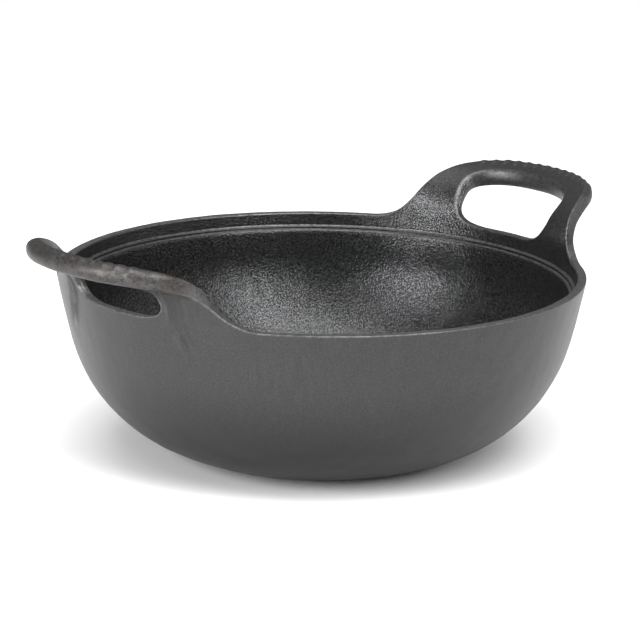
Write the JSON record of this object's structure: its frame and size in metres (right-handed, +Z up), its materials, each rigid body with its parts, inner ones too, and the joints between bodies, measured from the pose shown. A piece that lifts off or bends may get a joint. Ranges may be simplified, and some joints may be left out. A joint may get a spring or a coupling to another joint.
{
  "type": "kadai",
  "caption": "Deep round cast-iron kadai with a flat base, a stepped lid seat inside the rim and flared loop handles, for frying, simmering and serving.",
  "frame": {"origin": "centre of the flat resting face under the base", "axes": "+Z up, +X along the line through the two handles, towards the right handle, +Y across it"},
  "size_m": [0.327, 0.26, 0.1215],
  "materials": {
    "bowl_iron": "dark grey cast iron, satin outside, pebbly and slightly glossy inside",
    "handle_iron": "dark grey cast iron, satin, edges rubbed lighter"
  },
  "bodies": {
    "root": {"base_disc": "bowl_iron", "bowl_wall": "bowl_iron", "rim_band": "bowl_iron", "right_handle_grip": "handle_iron", "right_handle_rear_ear": "handle_iron", "right_handle_front_ear": "handle_iron", "left_handle_grip": "handle_iron", "left_handle_front_ear": "handle_iron", "left_handle_rear_ear": "handle_iron"}
  },
  "joints": []
}
